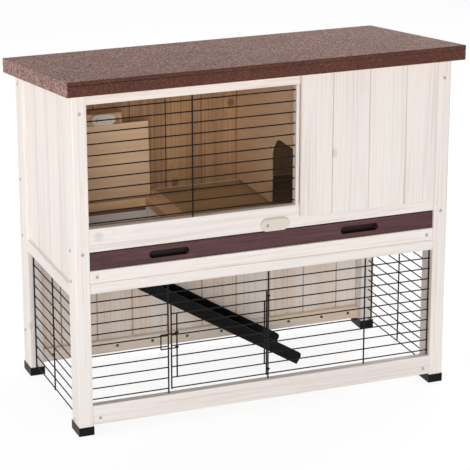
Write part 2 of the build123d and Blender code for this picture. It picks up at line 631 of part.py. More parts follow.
# Screw heads on the posts, the rails and the back batten
face_front = Rot(90, 0, 0)
heads = []
for x in (-OUT_X + POST_W / 2, OUT_X - POST_W / 2):
    for z in (WINDOW_TOP - POST_W / 2, (TRAY_TOP + LIP_Z) / 2):
        heads.append(pan_head(Pos(x, FRONT, z) * face_front))
for x in (-IN_X + POST_W / 2, IN_X - POST_W / 2):
    mid_z = MID_RAIL_Z + MID_RAIL_H / 2
    heads.append(pan_head(Pos(x, FRONT + MID_RAIL_SET, mid_z) * face_front))
    low_z = BOTTOM_RAIL_Z + BOTTOM_RAIL_H / 3
    heads.append(pan_head(Pos(x, FRONT, low_z) * face_front))
side_heads = {
    FRONT_IN - POST_D / 3: (LIP_Z, RUN_RAIL_Z + RUN_RAIL_H, FOOT_H + 2 * SCREW_HEAD_R),
    BACK - POST_D / 3: (WINDOW_TOP - BACK_RAIL_H, LIP_TOP, SIDE_RAIL_TOP, SIDE_RAIL_Z / 3),
}
for side in (-1, 1):
    for y, heights in side_heads.items():
        for z in heights:
            heads.append(pan_head(Pos(side * OUT_X, y, z) * Rot(0, side * 90, 0)))
batten_y = BACK_INNER - BACK_BATTEN_T
for edge in zip(back_edges, back_edges[1:]):
    batten_mid = BACK_BATTEN_Z + BACK_BATTEN_H / 2
    heads.append(pan_head(Pos((edge[0] + edge[1]) / 2, batten_y, batten_mid) * face_front))
nodes["screw_heads"] = Compound(heads)

os.makedirs("parts", exist_ok=True)
for name, shape in nodes.items():
    export_step(shape, "parts/%s.step" % name)
print(len(nodes), "nodes")
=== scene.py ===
import json
import math
import random

import bmesh
import bpy
from mathutils import Matrix, Vector

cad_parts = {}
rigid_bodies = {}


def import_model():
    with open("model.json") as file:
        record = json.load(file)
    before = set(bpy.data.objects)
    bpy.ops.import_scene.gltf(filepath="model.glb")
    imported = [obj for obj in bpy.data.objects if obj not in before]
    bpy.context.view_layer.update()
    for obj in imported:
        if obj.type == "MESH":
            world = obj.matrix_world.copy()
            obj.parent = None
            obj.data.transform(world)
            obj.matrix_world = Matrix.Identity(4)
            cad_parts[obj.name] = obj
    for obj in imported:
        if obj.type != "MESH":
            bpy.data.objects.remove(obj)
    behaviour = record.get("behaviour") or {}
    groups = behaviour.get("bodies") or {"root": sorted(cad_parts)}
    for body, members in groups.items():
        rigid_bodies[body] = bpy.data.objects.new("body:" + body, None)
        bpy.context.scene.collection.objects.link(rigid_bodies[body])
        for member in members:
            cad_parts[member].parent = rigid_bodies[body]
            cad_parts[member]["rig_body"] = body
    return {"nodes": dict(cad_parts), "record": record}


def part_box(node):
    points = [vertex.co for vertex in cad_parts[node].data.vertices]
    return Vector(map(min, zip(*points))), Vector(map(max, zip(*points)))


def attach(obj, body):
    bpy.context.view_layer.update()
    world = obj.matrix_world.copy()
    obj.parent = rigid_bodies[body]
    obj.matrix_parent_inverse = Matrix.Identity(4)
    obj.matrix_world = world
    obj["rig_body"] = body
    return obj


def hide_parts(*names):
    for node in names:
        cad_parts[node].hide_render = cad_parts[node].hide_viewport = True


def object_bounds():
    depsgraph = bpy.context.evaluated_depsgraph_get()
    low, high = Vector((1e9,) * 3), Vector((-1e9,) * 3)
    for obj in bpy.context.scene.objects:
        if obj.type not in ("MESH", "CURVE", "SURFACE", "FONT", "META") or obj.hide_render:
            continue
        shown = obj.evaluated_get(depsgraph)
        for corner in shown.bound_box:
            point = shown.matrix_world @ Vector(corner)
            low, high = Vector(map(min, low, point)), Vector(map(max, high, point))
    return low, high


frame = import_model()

cad_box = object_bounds()


# Posts: four planed pine posts, tops sawn to the roof's slope, arrises eased with a block plane.
# A thin white wash is rolled on all round before the hutch is put together.
X, Y, Z = range(3)


class Tone:
    """One shader value. Arithmetic on it adds Math nodes to its finish."""

    def __init__(self, finish, socket):
        self.finish = finish
        self.socket = socket

    def maths(self, operation, *values):
        return self.finish.node("ShaderNodeMath", {"operation": operation}, dict(enumerate(values)))

    def __add__(self, other):
        return self.maths("ADD", self, other)

    def __sub__(self, other):
        return self.maths("SUBTRACT", self, other)

    def __rsub__(self, other):
        return self.maths("SUBTRACT", other, self)

    def __mul__(self, other):
        return self.maths("MULTIPLY", self, other)

    def __pow__(self, other):
        return self.maths("POWER", self, other)

    def __gt__(self, other):
        return self.maths("GREATER_THAN", self, other)

    def __lt__(self, other):
        return self.maths("LESS_THAN", self, other)

    __radd__ = __add__
    __rmul__ = __mul__


class Finish:
    """A material being mixed: node() adds any node and returns one of its outputs."""

    def __init__(self, name, data=None):
        self.data = data or bpy.data.materials.new(name)
        self.data.use_nodes = True
        self.tree = self.data.node_tree
        self.shader = self.tree.nodes.get("Principled BSDF")

    def node(self, kind, settings, sockets, output=0):
        made = self.tree.nodes.new(kind)
        for key, value in settings.items():
            setattr(made, key, value)
        for key, value in sockets.items():
            self.feed(made.inputs[key], value)
        return Tone(self, made.outputs[output])

    def feed(self, socket, value):
        if isinstance(value, Tone):
            self.tree.links.new(value.socket, socket)
        elif socket.type == "RGBA":
            socket.default_value = (*value, 1)
        else:
            socket.default_value = value

    def set(self, **sockets):
        for key, value in sockets.items():
            self.feed(self.shader.inputs[key.replace("_", " ")], value)

    def place(self):
        return self.node("ShaderNodeTexCoord", {}, {}, "Object")

    def along(self, place, way):
        return self.node("ShaderNodeVectorMath", {"operation": "DOT_PRODUCT"}, {0: place, 1: way}, 1)

    def stretch(self, place, factors):
        return self.node("ShaderNodeVectorMath", {"operation": "MULTIPLY"}, {0: place, 1: factors})

    def own(self, name):
        return self.node("ShaderNodeAttribute", {"attribute_name": name}, {}, "Fac")

    def mix(self, share, first, second):
        sockets = {0: share, 6: first, 7: second}
        return self.node("ShaderNodeMix", {"data_type": "RGBA", "clamp_factor": True}, sockets, 2)

    def span(self, value, low, high, at_low=0.0, at_high=1.0):
        sockets = {0: value, 1: low, 2: high, 3: at_low, 4: at_high}
        return self.node("ShaderNodeMapRange", {"interpolation_type": "SMOOTHSTEP"}, sockets)

    def noise(self, place, scale, detail=2.0):
        return self.node("ShaderNodeTexNoise", {}, {"Vector": place, "Scale": scale, "Detail": detail})

    def bump(self, height, depth, strength=1.0):
        sockets = {"Strength": strength, "Distance": depth, "Height": height}
        self.set(Normal=self.node("ShaderNodeBump", {}, sockets))


class Grain:
    """Values for one wood cut along an axis: streaks, late rings, fibres, brush lines and knots."""

    def __init__(self, wood, along, ring_pitch, wander, sound=0.84):
        cross = [axis for axis in range(3) if axis != along]
        self.spot = wood.place()
        self.board = wood.own("board")
        apart = {0: (3.1, 5.7, 4.3), 1: self.board, 2: self.spot}
        place = wood.node("ShaderNodeVectorMath", {"operation": "MULTIPLY_ADD"}, apart)

        def drawn(factor):
            return wood.stretch(place, [factor if axis == along else 1.0 for axis in range(3)])

        across = wood.along(place, [{cross[0]: 1.0, cross[1]: 0.83}.get(axis, 0.0) for axis in range(3)])
        length = wood.along(place, [0.8 if axis == along else 0.0 for axis in range(3)])
        flat = {"Vector": wood.node("ShaderNodeCombineXYZ", {}, {0: across, 1: length}), "Scale": 6.5}
        far = wood.node("ShaderNodeTexVoronoi", {"voronoi_dimensions": "2D"}, flat, "Distance")
        chance = wood.node("ShaderNodeTexVoronoi", {"voronoi_dimensions": "2D"}, flat, "Color")
        knotty = wood.node("ShaderNodeSeparateColor", {}, {0: chance}, 0) > sound
        self.knot = wood.span(far, 0.03, 0.085, at_low=1.0, at_high=0.0) * knotty
        swirl = wood.span(far, 0.0, 0.34, at_low=1.0, at_high=0.0) * knotty
        self.streak = wood.noise(drawn(0.07), 15.0, 3.0)
        phase = across * (2 * math.pi / ring_pitch) + self.streak * wander + swirl * 8.0
        self.late = (phase.maths("SINE", phase) * 0.5 + 0.5) ** 3.0
        self.fibre = wood.noise(drawn(0.02), 900.0, 3.0)
        self.lines = wood.noise(drawn(0.015), 190.0, 2.0)


def pine(name, along, sound=0.84, cabin=None, tint=(0.866, 0.812, 0.806)):
    """Pine, bare or washed by each face's own value, with more knots in less sound wood.

    Ahead of and above the cabin line the wood is bare, and darkened there as painted shade
    of the closed cabin.
    """
    wood = Finish(name)
    look = Grain(wood, along, ring_pitch=0.011, wander=60.0, sound=sound)
    bare = wood.mix(wood.span(look.board, 0.2, 0.8), (0.80, 0.49, 0.25), (0.60, 0.46, 0.37))
    bare = wood.mix(look.late * 0.45, bare, (0.50, 0.28, 0.14))
    bare = wood.mix(wood.span(look.streak, 0.4, 0.66) * 0.55, bare, (0.46, 0.26, 0.14))
    bare = wood.mix(wood.span(look.lines, 0.48, 0.7) * 0.55, bare, (0.36, 0.195, 0.10))
    bare = wood.mix(look.knot * 0.75, bare, (0.17, 0.095, 0.06))
    groove_and_shade = wood.own("groove_and_shade")
    bare = wood.mix(groove_and_shade * 0.9, bare, (0.27, 0.125, 0.06))
    washed = wood.own("washed") * (1.0 - groove_and_shade * 0.8)
    if cabin:
        ahead = wood.along(look.spot, (0, 1, 0)) < cabin[0]
        inside = ahead * (wood.along(look.spot, (0, 0, 1)) > cabin[1])
        washed = washed * (1.0 - inside)
        # Painted shade: inside the cabin the bare wood is darkened towards near black.
        bare = wood.mix(inside * 0.36, bare, (0.02, 0.008, 0.003))
    worn = look.late * 0.06 + look.knot * 0.2 + wood.span(look.lines, 0.45, 0.75) * 0.19
    worn = worn + (look.fibre - 0.5) * 0.26 + wood.span(look.streak, 0.4, 0.75) * 0.11
    white = wood.mix(look.board, (0.890, 0.848, 0.815), (0.870, 0.814, 0.776))
    white = wood.mix(wood.span(look.streak, 0.42, 0.6) * 0.6, white, tint)
    wood.set(Base_Color=wood.mix(washed * (0.99 - worn), bare, white), Specular_IOR_Level=0.3)
    wood.set(Roughness=0.66 - look.late * 0.1 + (look.fibre - 0.5) * 0.2)
    wood.bump(look.late * 0.5 + look.fibre * 0.7, depth=0.00035, strength=0.5)
    return wood.data


def islands(mesh):
    """Sets of faces that hang together, in order of their place."""
    left = set(mesh.faces)
    found = []
    while left:
        group = {left.pop()}
        edge = list(group)
        while edge:
            for side in edge.pop().edges:
                fresh = [face for face in side.link_faces if face in left]
                left.difference_update(fresh)
                group.update(fresh)
                edge.extend(fresh)
        found.append(group)

    def corner(group):
        return min(vert.co.to_tuple(4) for face in group for vert in face.verts)

    return sorted(found, key=corner)


def piece(name, mesh, material, node=None, body="frame"):
    """Turns a bmesh into an object that rides on a body, and stands for a CAD node if one is given."""
    data = bpy.data.meshes.new(name)
    mesh.to_mesh(data)
    mesh.free()
    data.materials.append(material)
    made = bpy.data.objects.new(name, data)
    bpy.context.scene.collection.objects.link(made)
    if node:
        body = frame["nodes"][node]["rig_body"]
        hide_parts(node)
    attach(made, body)
    made.modifiers.new("flat_faces", "WEIGHTED_NORMAL").keep_sharp = True


WELD = 1e-6
FLAT = math.radians(0.5)
SHARP = math.radians(35)


def solid(node):
    """Welded copy of a CAD node's shape, with its flat faces whole again."""
    mesh = bmesh.new()
    mesh.from_mesh(frame["nodes"][node].data)
    bmesh.ops.remove_doubles(mesh, verts=mesh.verts, dist=WELD)
    bmesh.ops.dissolve_limit(mesh, angle_limit=FLAT, verts=mesh.verts, edges=mesh.edges)
    return mesh


def round_edges(mesh, radius):
    """Rounds every sharp edge and shades the whole smooth."""
    sharp = [edge for edge in mesh.edges if edge.is_manifold and edge.calc_face_angle() > SHARP]
    bmesh.ops.bevel(
        mesh, geom=sharp, offset=radius, segments=2, profile=0.6, affect="EDGES", clamp_overlap=True
    )
    for face in mesh.faces:
        face.smooth = True


look_dice = random.Random(11)
PLANED_EDGE = 0.0011
POST_EDGE = 0.002
FACING = 0.9
UPRIGHT = 0.5


def eased(node, material, wash=0.0, coats=(), radius=PLANED_EDGE, show=None, groove_and_shade=1.0, dim=()):
    """Wooden piece in a CAD node's shape with eased edges.

    Faces carry the wash; coats pairs a way that faces look with another wash. For boards, show is
    the axis of their broad faces, and the edges between these are grooves. Dim lists ways that
    darkened faces look: edges, and the tray front's top, where the dark is painted shade.
    """
    mesh = solid(node)
    round_edges(mesh, radius)
    layer = {name: mesh.faces.layers.float.new(name) for name in ("washed", "board", "groove_and_shade")}
    for plank in islands(mesh):
        tone = look_dice.random()
        for face in plank:
            face[layer["board"]] = tone
            other = [coat for way, coat in coats if face.normal.dot(Vector(way)) > FACING]
            face[layer["washed"]] = other[0] if other else wash
            edge = show is not None and abs(face.normal[show]) < FACING and abs(face.normal.z) < UPRIGHT
            edge = edge or any(face.normal.dot(Vector(way)) > FACING for way in dim)
            face[layer["groove_and_shade"]] = groove_and_shade if edge else 0.0
    piece(node + "_wood", mesh, material, node)


pine_upright = pine("pine_upright", Z)
for place in ("front_left", "front_right", "back_left", "back_right"):
    eased("post_" + place, pine_upright, 1.0, radius=POST_EDGE)


# Foot caps: black polypropylene cups pushed on to the posts' lower ends.
# Moulded with a fine spark texture and rounded edges, scuffed grey here and there.
def black_plastic(name, gloss):
    moulded = Finish(name)
    place = moulded.place()
    cloud = moulded.noise(place, 38.0, 4.0)
    spark = moulded.noise(place, 2600.0, 1.0)
    scuff = moulded.span(moulded.noise(place, 150.0, 5.0), 0.6, 0.75) * 0.5
    colour = moulded.mix(cloud, (0.003, 0.003, 0.0032), (0.007, 0.007, 0.0075))
    moulded.set(Base_Color=moulded.mix(scuff, colour, (0.024, 0.024, 0.025)))
    moulded.set(Roughness=gloss + (cloud - 0.5) * 0.2 + scuff * 0.25, Specular_IOR_Level=0.12)
    moulded.bump(spark, depth=0.00012, strength=0.5)
    return moulded.data


def moulding(node, material, radius):
    """Plastic or metal piece in a CAD node's shape with rounded edges."""
    mesh = solid(node)
    round_edges(mesh, radius)
    piece(node + "_moulding", mesh, material, node)


CAP_EDGE = 0.0007
moulding("foot_caps", black_plastic("cap_black", gloss=0.42), CAP_EDGE)


# Rails: pine bars screwed between the posts, washed all round like them.
# The batten low down inside the back has only a thin coat, so its yellow shows.
RAIL_EDGE = 0.0014
pine_level = pine("pine_level", X)
pine_deep = pine("pine_deep", Y)
pine_thin = pine("pine_thin", X, tint=(0.95, 0.78, 0.54))
for place in ("bottom", "run", "mid", "lip", "top"):
    eased("rail_front_" + place, pine_level, 1.0, radius=RAIL_EDGE)
eased("rail_side_left", pine_deep, 1.0)
eased("rail_side_right", pine_deep, 1.0)
eased("rail_back_top", pine_level, 1.0)
eased("batten_back_bottom", pine_thin, 0.9)


# Wall boards: pine boards with a V at each joint, upright, nailed to the rails.
# The roller misses the Vs. In the cabin the boards stay bare, in the run they are washed too.
FLOOR_TOP = 0.4365
BACK_MIDDLE = 0.2095
BOARD_EDGE = 0.0004
LEFT = (-1, 0, 0)
RIGHT = (1, 0, 0)
AHEAD = (0, -1, 0)
pine_back = pine("pine_back", Z, sound=0.68, cabin=(BACK_MIDDLE, FLOOR_TOP), tint=(0.90, 0.77, 0.66))
eased("side_boards_left", pine_upright, 1.0, [(RIGHT, 0.0)], BOARD_EDGE, show=X, groove_and_shade=0.45)
eased("side_boards_right", pine_upright, 1.0, [(LEFT, 0.0)], BOARD_EDGE, show=X, groove_and_shade=0.45)
eased("back_boards", pine_back, 1.0, [(AHEAD, 0.92)], BOARD_EDGE, show=Y, groove_and_shade=0.75)


# Nest front: four more of the same boards hung in front of the lip rail, bare behind, and a slim
# washed stile that closes the window's right-hand side.
BEHIND = (0, 1, 0)
for number in range(1, 5):
    eased("nest_board_%d" % number, pine_upright, 1.0, [(BEHIND, 0.0)], BOARD_EDGE, show=Y, groove_and_shade=0.4)
eased("window_stile", pine_upright, 1.0)


# Partition: thin plywood with a round-cornered doorway, between the cabin and the nest.
# The face veneer is rotary cut and runs front to back, in wide soft waves.
def plywood(name, along, light, dark):
    sheet = Finish(name)
    look = Grain(sheet, along, ring_pitch=0.022, wander=46.0)
    tone = sheet.mix(look.late * 0.25, light, dark)
    tone = sheet.mix(sheet.span(look.streak, 0.3, 0.75) * 0.35, tone, dark)
    tone = sheet.mix(sheet.span(look.lines, 0.5, 0.75) * 0.25, tone, dark)
    tone = sheet.mix(look.knot * 0.25, tone, [0.4 * part for part in dark])
    tone = sheet.mix((look.fibre - 0.35) * 0.3, tone, dark)
    sheet.set(Base_Color=sheet.mix(sheet.own("groove_and_shade"), tone, [0.35 * part for part in dark]))
    sheet.set(Roughness=0.6 + (look.fibre - 0.5) * 0.25, Specular_IOR_Level=0.3)
    sheet.bump(look.fibre, depth=0.0003, strength=0.5)
    return sheet.data


ply_deep = plywood("ply_deep", Y, (0.93, 0.68, 0.46), (0.76, 0.51, 0.31))
ply_level = plywood("ply_level", X, (0.80, 0.57, 0.37), (0.62, 0.405, 0.235))
PLY_EDGE = 0.0008
ABOVE = (0, 0, 1)
BELOW = (0, 0, -1)
eased("nest_partition", ply_deep, radius=PLY_EDGE, groove_and_shade=0.8, dim=[AHEAD, BEHIND, ABOVE, BELOW])


# Floor frame: bare bars that carry the tray and edge the ramp hole.
# The strip beside the hole is pale plywood. The one behind it is left reddish at the top, has a dark
# band of painted shade below that, and is washed further down, where it faces the run.
BAND_TOP = 0.413
BAND_LOW = 0.405
BAND_BLUR = 0.0005
strip = Finish("strip_red")
look = Grain(strip, X, ring_pitch=0.012, wander=40.0)
above = strip.along(look.spot, (0, 0, 1))
red = strip.mix(look.late * 0.6, (0.88, 0.59, 0.33), (0.70, 0.42, 0.20))
# Painted shade: the dark band under the reddish top.
band = strip.mix(look.late * 0.6, (0.20, 0.095, 0.06), (0.12, 0.05, 0.03))
pale = strip.mix(look.late * 0.3, (0.88, 0.83, 0.79), (0.76, 0.67, 0.60))
tone = strip.mix(strip.span(above, BAND_LOW - BAND_BLUR, BAND_LOW + BAND_BLUR), pale, band)
tone = strip.mix(strip.span(above, BAND_TOP - BAND_BLUR, BAND_TOP + BAND_BLUR), tone, red)
strip.set(Base_Color=tone, Roughness=0.6 + look.fibre * 0.1)
strip.bump(look.fibre, depth=0.0004, strength=0.5)
eased("tray_guides", pine_deep)
eased("hole_strip_right", ply_deep)
eased("floor_bearer", pine_level)
eased("hole_strip_back", strip.data)


# Floor tray: plywood coated olive brown so that it can be wiped, on bare runners.
# Its front board is stained a dark plum, with two routed finger slots.
def stained(name, along, light, dark, gloss):
    stain = Finish(name)
    look = Grain(stain, along, ring_pitch=0.012, wander=50.0)
    tone = stain.mix(look.late * 0.35, light, dark)
    tone = stain.mix(stain.span(look.streak, 0.35, 0.7) * 0.5, tone, dark)
    rubbed = stain.span(stain.noise(look.spot, 26.0, 3.0), 0.42, 0.62)
    scratch = stain.span(look.lines, 0.5, 0.68) * 0.4
    scratch = scratch + rubbed * stain.span(look.fibre, 0.48, 0.7) * 0.5
    tone = stain.mix(scratch, tone, [min(1.9 * part, 0.8) for part in light])
    stain.set(Base_Color=stain.mix(stain.own("groove_and_shade"), tone, [0.15 * part for part in dark]))
    stain.set(Roughness=gloss + (look.fibre - 0.5) * 0.25, Specular_IOR_Level=0.3)
    stain.bump(look.late * 0.4 + look.fibre, depth=0.0003, strength=0.5)
    return stain.data


plum = stained("plum_stain", X, (0.085, 0.034, 0.037), (0.036, 0.0135, 0.0155), gloss=0.5)
olive = stained("olive_coat", X, (0.46, 0.345, 0.20), (0.33, 0.245, 0.14), gloss=0.42)
# The front board's top faces are darkened almost to black: painted shade of the gap under the lip rail.
eased("tray_front", plum, radius=PLY_EDGE, dim=[ABOVE])
eased("tray_panel", olive, radius=PLY_EDGE)
eased("tray_runners", pine_deep)

# Behind each slot a strip hangs from the panel's underside and closes the view into the run. It takes
# the same stain darkened near to black: painted shade of the pocket.
SLOT_X = 0.2385
POCKET = Vector((0.124, 0.004, 0.0255))
POCKET_EDGE = 0.0006
POCKET_Y = -0.197
POCKET_Z = 0.41425


def bar(mesh, size, place):
    """Adds a box of a given size to a bmesh."""
    made = bmesh.ops.create_cube(mesh, size=1.0)["verts"]
    bmesh.ops.transform(mesh, matrix=place @ Matrix.Diagonal((*size, 1)), verts=made)


mesh = bmesh.new()
for x in (-SLOT_X, SLOT_X):
    bar(mesh, POCKET, Matrix.Translation((x, POCKET_Y, POCKET_Z)))
round_edges(mesh, POCKET_EDGE)
# Painted shade: a near-black copy of the plum stain.
plum_shade = stained("plum_shade", X, (0.022, 0.009, 0.010), (0.012, 0.005, 0.0055), gloss=0.6)
piece("slot_pockets", mesh, plum_shade, body="tray")


# Ramp-hole lid: a plywood flap on a steel rod between two ears. Raised, it leans on a stop,
# and a wooden turn button on the block above the stop keeps it there.
zinc = Finish("zinc")
cloud = zinc.noise(zinc.place(), 420.0, 3.0)
zinc.set(Base_Color=zinc.mix(cloud, (0.34, 0.335, 0.33), (0.52, 0.51, 0.50)))
zinc.set(Metallic=1.0, Roughness=0.3 + cloud * 0.25)


def repaint(node, material):
    """New finish on a CAD piece whose shape is already right."""
    for place in frame["nodes"][node].material_slots:
        place.material = material


BUTTON_EDGE = 0.0004
eased("hole_lid", ply_level, radius=PLY_EDGE)
eased("lid_ears", pine_upright)
eased("inner_button_block", pine_level)
eased("lid_stop", pine_level)
repaint("lid_rod", zinc.data)
button_wood = stained("button_wood", X, (0.74, 0.66, 0.585), (0.64, 0.555, 0.475), gloss=0.5)
eased("inner_button", button_wood, radius=BUTTON_EDGE)


# Ramp: one black moulding with raised sides and cleats across the deck, hung on a steel rod.
# A rib runs along the outside of each raised side, and low ribs cross the deck between the cleats.
RAMP_TILT = math.radians(31.5)
RAMP_LENGTH = 0.682
RAMP_WALL = 0.0035
DECK_TOP = -0.002
CLEAT_PITCH = 0.07
CLEAT_W = 0.006
SIDE_RIB = Vector((0.59, 0.0016, 0.004))
SIDE_RIB_AT = (0.365, 0.004)
RIB_OUT = 0.0004
DECK_RIB = (0.0024, 0.0016)
DECK_RIBS = 4
RAMP_EDGE = 0.001
RIB_EDGE = 0.0005
ramp_black = black_plastic("ramp_black", gloss=0.3)
moulding("ramp", ramp_black, RAMP_EDGE)
repaint("ramp_rod", zinc.data)
low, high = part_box("ramp")
axis = {row["name"]: row["pos_m"] for row in frame["record"]["behaviour"]["joints"] if "pos_m" in row}
rod = Matrix.Translation((axis["ramp_lift"][0], 0, axis["ramp_lift"][2]))
ramp_place = rod @ Matrix.Rotation(RAMP_TILT, 4, "Y")
mesh = bmesh.new()
for y in (low.y - RIB_OUT, high.y + RIB_OUT):
    bar(mesh, SIDE_RIB, ramp_place @ Matrix.Translation((SIDE_RIB_AT[0], y, SIDE_RIB_AT[1])))
inside = high.y - low.y - 2 * RAMP_WALL
rib_step = (CLEAT_PITCH - CLEAT_W) / (DECK_RIBS + 1)
for cleat in range(1, int(RAMP_LENGTH // CLEAT_PITCH)):
    for rib in range(1, DECK_RIBS + 1):
        way = cleat * CLEAT_PITCH + CLEAT_W + rib * rib_step
        place = Matrix.Translation((way, (low.y + high.y) / 2, DECK_TOP + DECK_RIB[1] / 4))
        bar(mesh, (DECK_RIB[0], inside, DECK_RIB[1]), ramp_place @ place)
round_edges(mesh, RIB_EDGE)
piece("ramp_ribs", mesh, ramp_black, body="ramp")


# Wire: welded steel wire, dipped black, fixed between the posts and rails.
# The door and its hook are bent from the same wire.
dip = Finish("black_dip")
lump = dip.noise(dip.place(), 300.0, 3.0)
dip.set(Base_Color=dip.mix(lump, (0.004, 0.004, 0.0045), (0.009, 0.009, 0.010)))
dip.set(Roughness=0.36 + lump * 0.2, Specular_IOR_Level=0.15)
dip.bump(lump, depth=0.0002, strength=0.5)
grilles = ["window_mesh", "run_mesh_left", "run_mesh_right", "side_mesh_left", "side_mesh_right"]
for node in grilles + ["run_top_wire", "wire_door", "door_hook"]:
    repaint(node, dip.data)


# Screws: zinc pan heads with a cross recess, one through each joint of posts and rails.
# Those in the batten inside the back have gone dark brown.
HEAD_CORNERS = 24
HEAD_DOME = ((1.0, 0.0), (1.0, 0.45), (0.9, 0.82), (0.7, 1.0))
RECESS_ARM = 0.16
RECESS_REACH = 0.55
RECESS_FLOOR = 0.45
ANY_TURN = (0, 3)


def pan_head(mesh, radius, height, place):
    """Adds a domed head with a cross recess, standing on the XY plane of its place."""
    arm = RECESS_ARM * radius
    reach = RECESS_REACH * radius

    def ring(size, z):
        turns = [2 * math.pi * step / HEAD_CORNERS for step in range(HEAD_CORNERS)]
        return [mesh.verts.new(place @ Vector((size * math.cos(t), size * math.sin(t), z))) for t in turns]

    def cross(z):
        quarter = [(reach, -arm), (reach, arm), (arm, arm)]
        points = []
        for step in range(4):
            turn = Matrix.Rotation(step * math.pi / 2, 2)
            points += [turn @ Vector(point) for point in quarter]
        return [mesh.verts.new(place @ Vector((point.x, point.y, z))) for point in points]

    def band(lower, upper):
        for step, vert in enumerate(lower):
            after = (step + 1) % len(lower)
            face = mesh.faces.new((vert, lower[after], upper[after], upper[step]))
            face.smooth = len(lower) == HEAD_CORNERS

    rings = [ring(wide * radius, tall * height) for wide, tall in HEAD_DOME]
    for lower, upper in zip(rings, rings[1:]):
        band(lower, upper)
    rim = cross(height)
    floor = cross(RECESS_FLOOR * height)
    band(floor, rim)
    mesh.faces.new(floor)
    loops = [mesh.edges.get((loop[i - 1], loop[i])) for loop in (rim, rings[-1]) for i in range(len(loop))]
    bmesh.ops.triangle_fill(mesh, use_beauty=True, edges=loops)


def standing(place, way, turn):
    """Frame at a place whose Z looks a given way, spun by a turn."""
    faced = Vector(way).to_track_quat("Z", "Y").to_matrix().to_4x4()
    return Matrix.Translation(place) @ faced @ Matrix.Rotation(turn, 4, "Z")


brown_screw = Finish("brown_screw")
cloud = brown_screw.noise(brown_screw.place(), 420.0, 3.0)
brown_screw.set(Base_Color=brown_screw.mix(cloud, (0.10, 0.065, 0.05), (0.18, 0.12, 0.09)))
brown_screw.set(Metallic=0.7, Roughness=0.4 + cloud * 0.25)
cad_heads = solid("screw_heads")
bright = bmesh.new()
brown = bmesh.new()
for head in islands(cad_heads):
    points = [vert.co for face in head for vert in face.verts]
    low = Vector([min(point[axis] for point in points) for axis in range(3)])
    high = Vector([max(point[axis] for point in points) for axis in range(3)])
    size = high - low
    middle = (low + high) / 2
    turn = look_dice.uniform(0, math.pi)
    if size.x < size.y:
        way = Vector((math.copysign(1, middle.x), 0, 0))
    else:
        way = Vector(AHEAD)
    foot = middle - way * min(size) / 2
    mesh = brown if middle.y > 0 and way.x == 0 else bright
    pan_head(mesh, max(size) / 2, min(size), standing(foot, way, turn))
cad_heads.free()
piece("screw_heads_bright", bright, zinc.data, "screw_heads")
piece("screw_heads_brown", brown, brown_screw.data, body="frame")


# Front turn button: a chamfered wooden pill on the lip rail, like the one inside.
# Each of the two turns on one zinc screw with a pan head.
BUTTON_HEAD_H = 0.0016
BUTTON_SHANK_R = 0.002
eased("front_button", button_wood, radius=BUTTON_EDGE)
for node in ("front_button_screw", "inner_button_screw"):
    low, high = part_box(node)
    middle = (low + high) / 2
    under_head = low.y + BUTTON_HEAD_H
    mesh = bmesh.new()
    head = standing((middle.x, under_head, middle.z), AHEAD, look_dice.uniform(*ANY_TURN))
    pan_head(mesh, (high.x - low.x) / 2, BUTTON_HEAD_H, head)
    shank = {"radius1": BUTTON_SHANK_R, "radius2": BUTTON_SHANK_R, "depth": high.y - under_head}
    place = standing((middle.x, (under_head + high.y) / 2, middle.z), AHEAD, 0)
    bmesh.ops.create_cone(mesh, cap_ends=True, segments=16, matrix=place, **shank)
    piece(node + "_pan", mesh, zinc.data, node)


# Roof deck: a plywood sheet on four pine battens, all left bare.
# The battens lie on the sloping tops of the posts and boards when the roof is shut.
for place in ("left", "right"):
    eased("roof_batten_" + place, pine_deep)
for place in ("front", "back"):
    eased("roof_batten_" + place, pine_level)
eased("roof_board", ply_level, radius=PLY_EDGE)


# Roof felt: bitumen sheet with brown mineral grit, nailed over the deck and folded down at both ends
# and, by a narrow lip, over the board along the front. That board is painted red brown, and fine
# grit has settled on it too.
ROOF_Y0 = -0.2625
ROOF_TOP = 0.851
ROOF_SLOPE = -0.12
LIP_DROP = 0.0085
LINE_LOW = 0.0035
LINE_TOP = 0.0005


def grit(name, scale, tones, roughness):
    """Mineral grit in a dark, a middle and a light tone, paler on the folded ends as painted light.

    A dark line under the lip, painted shadow of the lip, fades out to the right.
    """
    felt = Finish(name)
    place = felt.place()
    cell = {"Vector": place, "Scale": scale}
    pick = felt.node("ShaderNodeTexVoronoi", {}, cell, "Color")
    stone = felt.node("ShaderNodeSeparateColor", {}, {0: pick}, 0)
    bulge = felt.node("ShaderNodeTexVoronoi", {}, cell, "Distance")
    speck = felt.noise(place, 2.4 * scale, 2.0)
    patch = felt.noise(place, 9.0, 4.0)
    clump = felt.noise(place, 0.3 * scale, 2.0)
    shade = stone * 0.75 + speck * 0.3 + clump * 0.35 + felt.own("flap") * 0.09 + 0.01
    dark, middle, light = tones
    colour = felt.mix(felt.span(shade, 0.46, 0.74), dark, middle)
    colour = felt.mix(felt.span(shade, 0.78, 1.05), colour, light)
    colour = felt.mix(felt.span(patch, 0.35, 0.65) * 0.2, colour, dark)
    height = felt.along(place, (0, -ROOF_SLOPE, 1)) - ROOF_SLOPE * -ROOF_Y0
    lip = ROOF_TOP - LIP_DROP
    # Painted shadow: a dark line just under the lip on the front board, fading out to the right.
    lip_shadow = felt.span(height, lip - LINE_LOW, lip - LINE_TOP) * felt.own("under_lip")
    lip_shadow = lip_shadow * felt.span(felt.along(place, RIGHT), -0.45, 0.1, at_low=0.9, at_high=0.3)
    felt.set(Base_Color=felt.mix(lip_shadow, colour, (0.012, 0.006, 0.005)), Specular_IOR_Level=0.2)
    felt.set(Roughness=roughness + stone * 0.2)
    felt.bump(1.0 - bulge, depth=0.0009, strength=0.8)
    return felt.data


